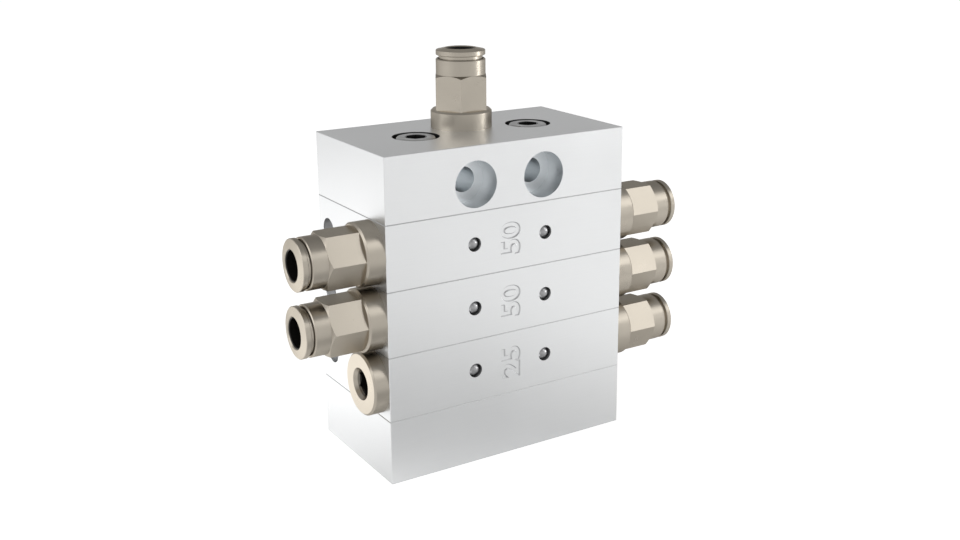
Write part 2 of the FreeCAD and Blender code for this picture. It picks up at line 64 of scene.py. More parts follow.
Socket: TypeAlias = bpy.types.NodeSocket
Sockets: TypeAlias = "bpy.types.bpy_prop_collection"
Triple: TypeAlias = "tuple[float, float, float]"


class Axis(Enum):
    """Direction in which a turned piece's axis runs, as a unit vector of the frame."""

    ACROSS = (1.0, 0.0, 0.0)
    UPRIGHT = (0.0, 0.0, 1.0)


class Edge(Enum):
    """How much a piece's sharp edges are broken, in metres."""

    AS_CUT = 0.0
    CRISP = 0.03 * MM
    BROKEN = 0.06 * MM


class Canvas:
    """A node tree being filled, with short calls for adding and joining nodes."""

    def __init__(self, tree: bpy.types.NodeTree) -> None:
        """Starts on an empty tree.

        Args:
            tree: The node tree to fill.
        """
        self.tree = tree
        self.tree.nodes.clear()

    def add(self, kind: str, settings: dict | None = None, **inputs: object) -> bpy.types.Node:
        """Adds a node, sets its options and fills or links its inputs.

        Args:
            kind: The node's Blender type name.
            settings: Options of the node, by property name.
            **inputs: Value or output socket for each input, by name with underscores for spaces.

        Returns:
            The new node.
        """
        node = self.tree.nodes.new(kind)
        for name, value in (settings or {}).items():
            setattr(node, name, value)
        for name, value in inputs.items():
            self.feed(node.inputs[name.replace("_", " ")], value)
        return node

    def feed(self, socket: Socket, value: object) -> None:
        """Links an output to the socket, or sets the socket's own value.

        Args:
            socket: The input socket.
            value: An output socket, a number or a tuple.
        """
        if isinstance(value, Socket):
            self.tree.links.new(value, socket)
        else:
            socket.default_value = value

    def math(self, operation: str, *values: object) -> Socket:
        """Adds a math node.

        Args:
            operation: The node's operation, such as MULTIPLY.
            *values: Its operands, numbers or output sockets.

        Returns:
            The result's socket.
        """
        node = self.add("ShaderNodeMath", {"operation": operation})
        for socket, value in zip(node.inputs, values):
            self.feed(socket, value)
        return node.outputs[0]

    def vector(self, operation: str, *values: object) -> bpy.types.Node:
        """Adds a vector math node.

        Args:
            operation: The node's operation, such as DOT_PRODUCT.
            *values: Its operands, tuples or output sockets.

        Returns:
            The node, since its results are on two sockets.
        """
        node = self.add("ShaderNodeVectorMath", {"operation": operation})
        for socket, value in zip(node.inputs, values):
            self.feed(socket, value)
        return node

    def span(
        self, value: object, low: float, high: float, new_low: float, new_high: float
    ) -> Socket:
        """Maps a value from one range to another, clamped.

        Args:
            value: The value's socket.
            low: Start of the range that is read.
            high: End of the range that is read.
            new_low: Result at the start.
            new_high: Result at the end.

        Returns:
            The mapped value's socket.
        """
        node = self.add("ShaderNodeMapRange", None, Value=value)
        ends = ("From Min", "From Max", "To Min", "To Max")
        for name, number in zip(ends, (low, high, new_low, new_high)):
            node.inputs[name].default_value = number
        return node.outputs["Result"]

    def blend(self, amount: object, first: object, second: object) -> Socket:
        """Mixes two colours.

        Args:
            amount: Share of the second colour.
            first: Colour where the amount is 0.
            second: Colour where the amount is 1.

        Returns:
            The mixed colour's socket.
        """
        node = self.add("ShaderNodeMix", {"data_type": "RGBA"})
        for index, value in ((0, amount), (6, first), (7, second)):
            self.feed(node.inputs[index], value)
        return node.outputs[2]

    def weigh(self, first: object, share: float, second: object, rest: float) -> Socket:
        """Adds two values, each times its share.

        Args:
            first: The first value.
            share: Factor of the first value.
            second: The second value.
            rest: Factor of the second value.

        Returns:
            The sum's socket.
        """
        parts = [self.math("MULTIPLY", *pair) for pair in ((first, share), (second, rest))]
        return self.math("ADD", *parts)

    def place(self) -> Socket:
        """The shaded point's place in object space."""
        return self.add("ShaderNodeTexCoord").outputs["Object"]

    def parts(self, vector: Socket) -> Sockets:
        """The vector's X, Y and Z."""
        return self.add("ShaderNodeSeparateXYZ", None, Vector=vector).outputs

    def noise(self, where: Socket, scale: object, detail: float) -> Socket:
        """A noise's value at a place."""
        node = self.add("ShaderNodeTexNoise", None, Vector=where, Scale=scale, Detail=detail)
        return node.outputs["Fac"]


class Effect:
    """A shader node group with named inputs and outputs, built once and shared by the finishes."""

    name = "effect"
    numbers: tuple[tuple[str, float], ...] = ()
    vectors: tuple[tuple[str, Triple], ...] = ()
    outputs: tuple[str, ...] = ("Mask",)

    def build(self) -> bpy.types.NodeTree:
        """Makes the group the first time and finds it again later.

        Returns:
            The node group.
        """
        found = bpy.data.node_groups.get(self.name)
        if found is not None:
            return found
        tree = bpy.data.node_groups.new(self.name, "ShaderNodeTree")
        canvas = Canvas(tree)
        for kind, rows in (("NodeSocketFloat", self.numbers), ("NodeSocketVector", self.vectors)):
            for label, value in rows:
                entry = tree.interface.new_socket(label, in_out="INPUT", socket_type=kind)
                entry.default_value = value
        for label in self.outputs:
            tree.interface.new_socket(label, in_out="OUTPUT", socket_type="NodeSocketFloat")
        given = canvas.add("NodeGroupInput").outputs
        results = self.fill(canvas, given)
        end = canvas.add("NodeGroupOutput")
        for label, socket in zip(self.outputs, results):
            canvas.feed(end.inputs[label], socket)
        return tree

    def fill(self, canvas: Canvas, given: Sockets) -> tuple[Socket, ...]:
        """Lays out the group's nodes.

        Args:
            canvas: The group's tree.
            given: Sockets of the group's inputs.

        Returns:
            A socket for each output, in their order.
        """
        raise NotImplementedError

    def use(self, canvas: Canvas, **inputs: object) -> Sockets:
        """Places the group in a material.

        Args:
            canvas: The material's tree.
            **inputs: Value or socket for each input.

        Returns:
            The group node's outputs.
        """
        return canvas.add("ShaderNodeGroup", {"node_tree": self.build()}, **inputs).outputs


class FineGrain(Effect):
    """Small even grain of a blasted or plated surface, with slow patches over it."""

    name = "fine_grain"
    numbers = (("Grain", 9000.0), ("Patch", 60.0))
    outputs = ("Grain", "Patch")
    grain_detail = 3.0
    patch_detail = 4.0

    def fill(self, canvas: Canvas, given: Sockets) -> tuple[Socket, ...]:
        """Lays out two noises in object space.

        Args:
            canvas: The group's tree.
            given: Sockets of the group's inputs.

        Returns:
            The grain and the patches.
        """
        where = canvas.place()
        grain = canvas.noise(where, given["Grain"], self.grain_detail)
        return grain, canvas.noise(where, given["Patch"], self.patch_detail)


class CutterMarks(Effect):
    """Fine parallel lines that a milling cutter leaves along X on flat faces."""

    name = "cutter_marks"
    numbers = (("Across", 5200.0), ("Along", 90.0))
    outputs = ("Lines",)
    detail = 2.0

    def fill(self, canvas: Canvas, given: Sockets) -> tuple[Socket, ...]:
        """Lays out a noise drawn out along X.

        Args:
            canvas: The group's tree.
            given: Sockets of the group's inputs.

        Returns:
            The lines.
        """
        where = canvas.parts(canvas.place())
        stretched = canvas.add(
            "ShaderNodeCombineXYZ",
            None,
            X=canvas.math("MULTIPLY", where["X"], given["Along"]),
            Y=canvas.math("MULTIPLY", where["Y"], given["Across"]),
            Z=canvas.math("MULTIPLY", where["Z"], given["Across"]),
        )
        return (canvas.noise(stretched.outputs[0], 1.0, self.detail),)


class TurnedRings(Effect):
    """Rings that a lathe leaves: along the axis on round faces, about it on end faces."""

    name = "turned_rings"
    numbers = (("Pitch", 5000.0), ("Repeat", 0.0))
    vectors = (("Axis", (1.0, 0.0, 0.0)), ("Centre", (0.0, 0.0, 0.0)))
    outputs = ("Rings", "Radius", "Station")
    detail = 2.0

    def fill(self, canvas: Canvas, given: Sockets) -> tuple[Socket, ...]:
        """Lays out a noise of station and radius that pieces a set distance apart share.

        Args:
            canvas: The group's tree.
            given: Sockets of the group's inputs.

        Returns:
            The rings, the distance from the axis and the place along it.
        """
        offset = canvas.vector("SUBTRACT", canvas.place(), given["Centre"]).outputs[0]
        parts = canvas.parts(offset)
        above, below = (canvas.math("MULTIPLY", given["Repeat"], half) for half in (0.5, -0.5))
        height = canvas.math("WRAP", parts["Z"], above, below)
        folded = canvas.add("ShaderNodeCombineXYZ", None, X=parts["X"], Y=parts["Y"], Z=height)
        station = canvas.vector("DOT_PRODUCT", folded.outputs[0], given["Axis"]).outputs["Value"]
        along = canvas.vector("SCALE", given["Axis"])
        canvas.feed(along.inputs["Scale"], station)
        radial = canvas.vector("SUBTRACT", folded.outputs[0], along.outputs[0]).outputs[0]
        radius = canvas.vector("LENGTH", radial).outputs["Value"]
        reach = canvas.math("MULTIPLY", canvas.math("ADD", station, radius), given["Pitch"])
        rings = canvas.add(
            "ShaderNodeTexNoise", {"noise_dimensions": "1D"}, W=reach, Scale=1.0, Detail=self.detail
        )
        return rings.outputs["Fac"], radius, station


class PairedBores(Effect):
    """Mask of what lies near either of two bore axes, one on each side of the middle."""

    name = "paired_bores"
    numbers = (
        ("Apart", 14.2 * MM),
        ("Place", -1.0 * MM),
        ("Radius", 5.0 * MM),
        ("Level", 0.0),
        ("Back", 1.0),
    )

    def fill(self, canvas: Canvas, given: Sockets) -> tuple[Socket, ...]:
        """Compares the distance from the nearer axis with the radius.

        Args:
            canvas: The group's tree.
            given: Sockets of the group's inputs.

        Returns:
            The mask.
        """
        parts = canvas.parts(canvas.place())
        across = canvas.math("SUBTRACT", canvas.math("ABSOLUTE", parts["X"]), given["Apart"])
        is_upright = canvas.math("SUBTRACT", 1.0, given["Level"])
        upright = canvas.math("MULTIPLY", parts["Y"], is_upright)
        level = canvas.math("MULTIPLY", parts["Z"], given["Level"])
        along = canvas.math("SUBTRACT", canvas.math("ADD", upright, level), given["Place"])
        squares = [canvas.math("MULTIPLY", length, length) for length in (across, along)]
        distance = canvas.math("SQRT", canvas.math("ADD", *squares))
        within = canvas.math("LESS_THAN", distance, given["Radius"])
        before_back = canvas.math("LESS_THAN", parts["Y"], given["Back"])
        return (canvas.math("MULTIPLY", within, before_back),)


class SectionJoints(Effect):
    """Mask of the narrow strip where one section meets the next."""

    name = "section_joints"
    numbers = (("Pitch", 14.0 * MM), ("Top", 63.0 * MM), ("Width", 0.13 * MM))

    def fill(self, canvas: Canvas, given: Sockets) -> tuple[Socket, ...]:
        """Compares the height's distance from the nearest joint with the strip's half width.

        Args:
            canvas: The group's tree.
            given: Sockets of the group's inputs.

        Returns:
            The mask.
        """
        height = canvas.parts(canvas.place())["Z"]
        half = canvas.math("MULTIPLY", given["Pitch"], 0.5)
        wrapped = canvas.math("WRAP", height, half, canvas.math("MULTIPLY", half, -1.0))
        strip = canvas.math("LESS_THAN", canvas.math("ABSOLUTE", wrapped), given["Width"])
        above_foot = canvas.math("GREATER_THAN", height, half)
        below_top = canvas.math("LESS_THAN", height, given["Top"])
        return (canvas.math("MULTIPLY", strip, canvas.math("MULTIPLY", above_foot, below_top)),)


@dataclass(frozen=True)
class Finish:
    """What every finish holds: name, colour, roughness and the grain of its surface."""

    name: str
    colour: Triple
    roughness: float
    grain_scale: float = 9000.0
    patch_scale: float = 500.0
    bump_strength: float = 0.2
    bump_height: float = 0.01 * MM

    def start(self, metallic: float) -> tuple[bpy.types.Material, Canvas, bpy.types.Node]:
        """Makes the material with its shader joined to the output.

        Args:
            metallic: The shader's metallic value.

        Returns:
            The material, its canvas and the shader node.
        """
        material = bpy.data.materials.new(self.name)
        material.use_nodes = True
        canvas = Canvas(material.node_tree)
        shader = canvas.add(
            "ShaderNodeBsdfPrincipled", None, Metallic=metallic, Roughness=self.roughness
        )
        shader.inputs["Base Color"].default_value = (*self.colour, 1.0)
        canvas.add("ShaderNodeOutputMaterial", None, Surface=shader.outputs[0])
        return material, canvas, shader

    def shade(self, factor: float) -> tuple[float, float, float, float]:
        """The finish's colour made lighter or darker by a factor."""
        return (*(min(1.0, part * factor) for part in self.colour), 1.0)

    def grain(self, canvas: Canvas) -> Sockets:
        """The surface's grain and patches."""
        return FineGrain().use(canvas, Grain=self.grain_scale, Patch=self.patch_scale)

    def vary(
        self, canvas: Canvas, shader: bpy.types.Node, value: Socket, low: float, high: float
    ) -> None:
        """Lets a noise vary the roughness.

        Args:
            canvas: The material's tree.
            shader: Its shader.
            value: The noise.
            low: Roughness where the noise is low.
            high: Roughness where it is high.
        """
        canvas.feed(shader.inputs["Roughness"], canvas.span(value, *NOISE_SPAN, low, high))

    def bump(self, canvas: Canvas, shader: bpy.types.Node, height: Socket) -> None:
        """Raises and sinks the surface by a height.

        Args:
            canvas: The material's tree.
            shader: Its shader.
            height: The height, as a share of the bump's own.
        """
        node = canvas.add(
            "ShaderNodeBump",
            None,
            Strength=self.bump_strength,
            Distance=self.bump_height,
            Height=height,
        )
        canvas.feed(shader.inputs["Normal"], node.outputs[0])


@dataclass(frozen=True)
class MilledAluminium(Finish):
    """Clear anodised aluminium over fine cutter marks, with darker joint lines, painted shade in
    the tie screws' counterbores and painted light in the mounting bores.
    """

    grain_scale: float = 7000.0
    patch_scale: float = 45.0
    bump_strength: float = 0.35
    bump_height: float = 0.02 * MM
    patch_share: float = 0.6
    line_share: float = 0.4
    line_depth: float = 0.012
    grain_depth: float = 0.01
    tones: tuple[float, float] = (0.96, 1.04)
    roughness_swing: float = 0.03
    # painted shade: the counterbores of the tie screws are darkened nearly to black, where shade
    # falls in them
    screw_bore_radius: float = 5.09 * MM
    screw_bore_painted_shade: float = 0.12
    # painted light: the mounting bores get a pale bluish colour, lighter still in the narrow inner
    # bore, standing in for light reaching into them
    mounting_bores: Triple = (8.4 * MM, 61.8 * MM, 15.8 * MM)
    bore_light_steps: tuple[tuple[float, float], ...] = ((5.02 * MM, 1.0), (2.78 * MM, 1.26))
    bore_light_colour: Triple = (0.73, 0.755, 0.77)
    joint_shade: float = 0.79

    def material(self) -> bpy.types.Material:
        """Builds the material.

        Returns:
            The finished material.
        """
        material, canvas, shader = self.start(1.0)
        grain = self.grain(canvas)
        lines = CutterMarks().use(canvas)["Lines"]
        tone = canvas.weigh(grain["Patch"], self.patch_share, lines, self.line_share)
        metal = canvas.blend(tone, *(self.shade(part) for part in self.tones))
        canvas.feed(shader.inputs["Base Color"], self.mark(canvas, metal))
        swing = self.roughness_swing
        self.vary(canvas, shader, grain["Patch"], self.roughness - swing, self.roughness + swing)
        height = canvas.weigh(lines, self.line_depth, grain["Grain"], self.grain_depth)
        self.bump(canvas, shader, height)
        return material

    def mark(self, canvas: Canvas, metal: Socket) -> Socket:
        """Paints shade into the tie screws' counterbores and light into the mounting bores, and
        darkens the joints.

        Args:
            canvas: The material's tree.
            metal: Colour of the plain surface.

        Returns:
            The colour with the painted shade and light in the bores and the darker joints.
        """
        # painted shade in the tie screws' counterbores
        recess_shade_mask = PairedBores().use(canvas, Radius=self.screw_bore_radius)["Mask"]
        metal = canvas.blend(recess_shade_mask, metal, self.shade(self.screw_bore_painted_shade))
        # painted light in the mounting bores, lighter in the inner bore
        apart, level, back = self.mounting_bores
        for radius, gain in self.bore_light_steps:
            bore_light_mask = PairedBores().use(
                canvas, Apart=apart, Place=level, Radius=radius, Level=1.0, Back=back
            )["Mask"]
            bright = (*(part * gain for part in self.bore_light_colour), 1.0)
            metal = canvas.blend(bore_light_mask, metal, bright)
        joint = SectionJoints().use(canvas)["Mask"]
        return canvas.blend(joint, metal, self.shade(self.joint_shade))


@dataclass(frozen=True)
class NickelPlate(Finish):
    """Warm nickel plate over turned and milled brass, with painted light on its end faces and
    painted shade in the bore.
    """

    grain_scale: float = 6000.0
    patch_scale: float = 160.0
    bump_strength: float = 0.25
    axis: Axis = Axis.ACROSS
    centre: Triple = (0.0, 0.0, 0.0)
    repeat: float = 0.0
    ring_pitch: float = 5200.0
    ring_depth: float = 0.15
    patch_share: float = 0.75
    ring_share: float = 0.25
    tones: tuple[float, float] = (0.93, 1.07)
    roughness_swing: tuple[float, float] = (0.04, 0.05)
    # painted light: faces that look along the axis get a lighter copy of the plate, by this gain
    end_face_light_span: tuple[float, float] = (0.9, 0.97)
    end_face_light_gain: float = 1.5
    # painted shade in the bore: its radius, its stretch along the axis, its near-black colour and a
    # darker mouth
    bore_radius: float = 0.0
    bore_start: float = -1.0
    bore_end: float = 0.0
    bore_edge: float = 0.1 * MM
    bore_shade_colour: tuple[float, float, float, float] = (0.012, 0.011, 0.010, 1.0)
    bore_metallic: float = 0.2
    mouth_painted_shade: float = 0.4
    edge_tint: tuple[float, float, float, float] = (0.6, 0.585, 0.56, 1.0)

    def material(self) -> bpy.types.Material:
        """Builds the material.

        Returns:
            The finished material.
        """
        material, canvas, shader = self.start(1.0)
        shader.inputs["Specular Tint"].default_value = self.edge_tint
        grain = self.grain(canvas)
        turned = TurnedRings().use(
            canvas,
            Axis=self.axis.value,
            Centre=self.centre,
            Repeat=self.repeat,
            Pitch=self.ring_pitch,
        )
        tone = canvas.weigh(grain["Patch"], self.patch_share, turned["Rings"], self.ring_share)
        plate, lit_end_face_colour = (
            canvas.blend(tone, *(self.shade(part * gain) for part in self.tones))
            for gain in (1.0, self.end_face_light_gain)
        )
        # painted light on the faces that look along the axis
        normal = canvas.add("ShaderNodeNewGeometry").outputs["Normal"]
        cosine = canvas.vector("DOT_PRODUCT", normal, self.axis.value).outputs["Value"]
        end_face_light_mask = canvas.span(canvas.math("ABSOLUTE", cosine), *self.end_face_light_span, 0.0, 1.0)
        plate = canvas.blend(end_face_light_mask, plate, lit_end_face_colour)
        if self.bore_radius > 0.0:
            plate = self.darken(canvas, shader, turned, plate)
        canvas.feed(shader.inputs["Base Color"], plate)
        less, more = self.roughness_swing
        self.vary(canvas, shader, tone, self.roughness - less, self.roughness + more)
        rings = canvas.math("MULTIPLY", turned["Rings"], self.ring_depth)
        self.bump(canvas, shader, canvas.math("ADD", rings, grain["Grain"]))
        return material

    def darken(
        self, canvas: Canvas, shader: bpy.types.Node, turned: Sockets, plate: Socket
    ) -> Socket:
        """Paints shade into the bore: a little at its mouth, and nearly black and matt behind.

        Args:
            canvas: The material's tree.
            shader: Its shader.
            turned: Outputs of the turned rings.
            plate: Colour of the plate.

        Returns:
            The colour with the painted shade in the bore.
        """
        deep = canvas.math("GREATER_THAN", turned["Station"], self.bore_start)
        edge = self.bore_radius - self.bore_edge
        near = canvas.span(turned["Radius"], self.bore_radius, edge, 0.0, 1.0)
        inside = canvas.math("MULTIPLY", deep, near)
        if self.bore_end > 0.0:
            reach = canvas.math("ABSOLUTE", turned["Station"])
            below_end = canvas.math("LESS_THAN", reach, self.bore_end)
            inside = canvas.math("MULTIPLY", inside, below_end)
        metallic = canvas.span(inside, 0.0, 1.0, 1.0, self.bore_metallic)
        canvas.feed(shader.inputs["Metallic"], metallic)
        plate = canvas.blend(near, plate, self.shade(self.mouth_painted_shade))
        return canvas.blend(inside, plate, self.bore_shade_colour)


@dataclass(frozen=True)
class GroundSteel(Finish):
    """Bare steel with a fine ground surface and slight tarnish, and, for the screws, painted shade
    in the hex sockets.
    """

    tarnish: float = 0.25
    tarnish_span: tuple[float, float] = (0.4, 0.65)
    tarnish_shade: float = 0.6
    # painted shade in the screws' hex sockets
    socket_radius: float = 0.0
    socket_painted_shade: float = 0.08
    roughness_range: tuple[float, float] = (0.8, 1.25)

    def material(self) -> bpy.types.Material:
        """Builds the material.

        Returns:
            The finished material.
        """
        material, canvas, shader = self.start(1.0)
        grain = self.grain(canvas)
        spots = canvas.span(grain["Patch"], *self.tarnish_span, 0.0, self.tarnish)
        tarnish_and_socket_shade = canvas.blend(spots, self.shade(1.0), self.shade(self.tarnish_shade))
        # painted shade: the hex sockets are darkened nearly to black
        if self.socket_radius > 0.0:
            recess_shade_mask = PairedBores().use(canvas, Radius=self.socket_radius)["Mask"]
            tarnish_and_socket_shade = canvas.blend(recess_shade_mask, tarnish_and_socket_shade, self.shade(self.socket_painted_shade))
        canvas.feed(shader.inputs["Base Color"], tarnish_and_socket_shade)
        low, high = (self.roughness * part for part in self.roughness_range)
        self.vary(canvas, shader, grain["Patch"], low, high)
        self.bump(canvas, shader, grain["Grain"])
        return material


@dataclass(frozen=True)
class SealRubber(Finish):
    """Matt black nitrile rubber."""

    grain_scale: float = 5000.0
    patch_scale: float = 300.0
    bump_strength: float = 0.3
    bump_height: float = 0.02 * MM
    tones: tuple[float, float] = (0.7, 1.4)

    def material(self) -> bpy.types.Material:
        """Builds the material.

        Returns:
            The finished material.
        """
        material, canvas, shader = self.start(0.0)
        grain = self.grain(canvas)
        rubber = canvas.blend(grain["Patch"], *(self.shade(part) for part in self.tones))
        canvas.feed(shader.inputs["Base Color"], rubber)
        self.bump(canvas, shader, grain["Grain"])
        return material


@dataclass
class Softener:
    """Breaks sharp edges and smooths round faces by modifiers; the solid's mesh is left alone."""

    smooth_below: float = math.radians(20.0)
    bevel_above: float = math.radians(40.0)
    merge_within: float = 1e-6
    flat_within: float = math.radians(0.6)
    flat_weight: int = 90

    def shading_group(self) -> bpy.types.NodeTree:
        """Geometry nodes that shade faces smooth and keep edges sharp above the angle.

        Returns:
            The node group.
        """
        found = bpy.data.node_groups.get("smooth_round_faces")
        if found is not None:
            return found
        tree = bpy.data.node_groups.new("smooth_round_faces", "GeometryNodeTree")
        tree.interface.new_socket("Geometry", in_out="INPUT", socket_type="NodeSocketGeometry")
        tree.interface.new_socket("Geometry", in_out="OUTPUT", socket_type="NodeSocketGeometry")
        canvas = Canvas(tree)
        given = canvas.add("NodeGroupInput").outputs["Geometry"]
        angle = canvas.add("GeometryNodeInputMeshEdgeAngle").outputs["Unsigned Angle"]
        sharp = canvas.math("GREATER_THAN", angle, self.smooth_below)
        smooth = "GeometryNodeSetShadeSmooth"
        faces = canvas.add(smooth, {"domain": "FACE"}, Geometry=given, Shade_Smooth=True)
        edges = canvas.add(
            smooth,
            {"domain": "EDGE"},
            Geometry=faces.outputs[0],
            Selection=sharp,
            Shade_Smooth=False,
        )
        canvas.add("NodeGroupOutput", None, Geometry=edges.outputs[0])
        return tree

    def merge(self, piece: bpy.types.Object) -> None:
        """Joins split corners and makes one face of each flat one.

        Args:
            piece: The piece to prepare.
        """
        weld = piece.modifiers.new("join_corners", "WELD")
        weld.merge_threshold = self.merge_within
        flat = piece.modifiers.new("whole_flats", "DECIMATE")
        flat.decimate_type = "DISSOLVE"
        flat.angle_limit = self.flat_within

    def soften(self, piece: bpy.types.Object, edge: Edge) -> None:
        """Adds the rounded edges and the smooth shading, with flat faces kept flat.

        Args:
            piece: The piece to finish.
            edge: How much its edges are broken.
        """
        if edge is not Edge.AS_CUT:
            bevel = piece.modifiers.new("broken_edges", "BEVEL")
            bevel.width = edge.value
            bevel.segments = 1
            bevel.limit_method = "ANGLE"
            bevel.angle_limit = self.bevel_above
            bevel.use_clamp_overlap = True
        shading = piece.modifiers.new("smooth_shading", "NODES")
        shading.node_group = self.shading_group()
        flats = piece.modifiers.new("flat_faces_stay_flat", "WEIGHTED_NORMAL")
        flats.mode = "FACE_AREA"
        flats.weight = self.flat_weight
        flats.keep_sharp = True


def placed(name: str, data: bpy.types.ID) -> bpy.types.Object:
    """Adds an object to the scene.

    Args:
        name: Its name.
        data: Its mesh, curve, light or camera.

    Returns:
        The object.
    """
    piece = bpy.data.objects.new(name, data)
    bpy.context.scene.collection.objects.link(piece)
    return piece


def dress(piece: bpy.types.Object, material: bpy.types.Material) -> None:
    """Gives the whole piece one material.

    Args:
        piece: The piece to cover.
        material: Its material.
    """
    piece.data.materials.clear()
    piece.data.materials.append(material)


def baked(piece: bpy.types.Object) -> bpy.types.Mesh:
    """The piece's mesh with its modifiers applied.

    Args:
        piece: The piece to read.

    Returns:
        A new mesh.
    """
    graph = bpy.context.evaluated_depsgraph_get()
    return bpy.data.meshes.new_from_object(piece.evaluated_get(graph))


@dataclass
class EngravedNumber:
    """A size number cut into a metering section's front face, read from below upwards."""

    text: str
    level: float
    front: float = -16.0 * MM
    cap_height: float = 5.0 * MM
    length: float = 7.2 * MM
    depth: float = 0.26 * MM
    weight: float = 0.004
    slope: float = 0.03
    upright_share: float = 0.25
    curve_steps: int = 6
    merge_within: float = 1e-7
    floor_facing: float = 0.95

    def outline(self) -> bpy.types.Mesh:
        """Makes the number as an extruded outline with sloping walls, one unit high.

        Returns:
            Its mesh.
        """
        curve = bpy.data.curves.new(f"number_{self.text}", "FONT")
        curve.body = self.text
        curve.size = 1.0
        curve.resolution_u = self.curve_steps
        curve.offset = self.weight
        curve.extrude = self.slope * self.upright_share
        curve.bevel_depth = self.slope
        curve.bevel_resolution = 0
        outline = placed(f"number_{self.text}", curve)
        bpy.context.view_layer.update()
        mesh = baked(outline)
        bpy.data.objects.remove(outline)
        return mesh

    def cutter(self, face: bpy.types.Material, shaded_wall: bpy.types.Material) -> bpy.types.Object:
        """Makes the solid that cuts the number, scaled to its height and length.

        Args:
            face: Material of the number's floor.
            shaded_wall: Material of its side walls, a darker copy of the slab's material: painted
                shade.

        Returns:
            The cutter, which the caller removes.
        """
        mesh = self.outline()
        low = Vector(min(v.co[i] for v in mesh.vertices) for i in range(3))
        high = Vector(max(v.co[i] for v in mesh.vertices) for i in range(3))
        middle = (low + high) / 2
        width, height = self.length / (high.x - low.x), self.cap_height / (high.y - low.y)
        scale = Matrix.Diagonal((width, height, self.depth / high.z, 1.0))
        # reading direction to Z, the letters' tops to -X, their faces to the front
        turn = Matrix(((0, -1, 0, 0), (0, 0, -1, 0), (1, 0, 0, 0), (0, 0, 0, 1)))
        place = Matrix.Translation((0.0, self.front, self.level))
        mesh.transform(place @ turn @ scale @ Matrix.Translation(-middle))
        mesh.materials.append(face)
        mesh.materials.append(shaded_wall)
        welded = bmesh.new()
        welded.from_mesh(mesh)
        bmesh.ops.remove_doubles(welded, verts=welded.verts, dist=self.merge_within)
        bmesh.ops.recalc_face_normals(welded, faces=welded.faces)
        # side walls take the darker material: painted shade in the engraved grooves
        for side in welded.faces:
            side.material_index = int(abs(side.normal.y) < self.floor_facing)
        welded.to_mesh(mesh)
        welded.free()
        return placed(f"cutter_{self.text}", mesh)


@dataclass
class BlockSections:
    """The stacked slabs: inlet, metering and end sections."""

    finish: MilledAluminium
    # darker copy of the finish for the numbers' side walls: painted shade
    shaded_wall_finish: MilledAluminium
    softener: Softener
    numbers: tuple[str, ...] = ("50", "50", "25")
    numbered_nodes: tuple[str, ...] = tuple(f"metering_section_{place}" for place in (1, 2, 3))
    plain_nodes: tuple[str, ...] = ("inlet_section", "end_section")

    def build(self, nodes: dict[str, bpy.types.Object]) -> None:
        """Dresses the plain slabs and replaces the metering ones by engraved ones.

        Args:
            nodes: The frame's nodes.
        """
        material = self.finish.material()
        shaded_wall = self.shaded_wall_finish.material()
        for name in self.plain_nodes:
            self.softener.merge(nodes[name])
            self.softener.soften(nodes[name], Edge.AS_CUT)
            dress(nodes[name], material)
            LOG.info("dressed %s", name)
        for name, text in zip(self.numbered_nodes, self.numbers):
            low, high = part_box(name)
            self.engrave(nodes[name], EngravedNumber(text, (low.z + high.z) / 2), material, shaded_wall)

    def engrave(
        self,
        node: bpy.types.Object,
        number: EngravedNumber,
        material: bpy.types.Material,
        shaded_wall: bpy.types.Material,
    ) -> None:
        """Makes the numbered slab that stands for a metering section.

        Args:
            node: The section's solid.
            number: The number for its front.
            material: The slab's material.
            shaded_wall: Material of the number's side walls, a darker copy of the slab's material:
                painted shade.
        """
        slab = placed(f"{node.name}_numbered", node.data.copy())
        dress(slab, material)
        self.softener.merge(slab)
        cutter = number.cutter(material, shaded_wall)
        cut = slab.modifiers.new("engraved_number", "BOOLEAN")
        cut.operation = "DIFFERENCE"
        cut.solver = "EXACT"
        cut.material_mode = "TRANSFER"
        cut.object = cutter
        bpy.context.view_layer.update()
        mesh = baked(slab)
        slab.modifiers.clear()
        slab.data = mesh
        bpy.data.objects.remove(cutter)
        self.softener.soften(slab, Edge.AS_CUT)
        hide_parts(node.name)
        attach(slab, "block")
        LOG.info("engraved %s on %s, %d faces", number.text, node.name, len(mesh.polygons))


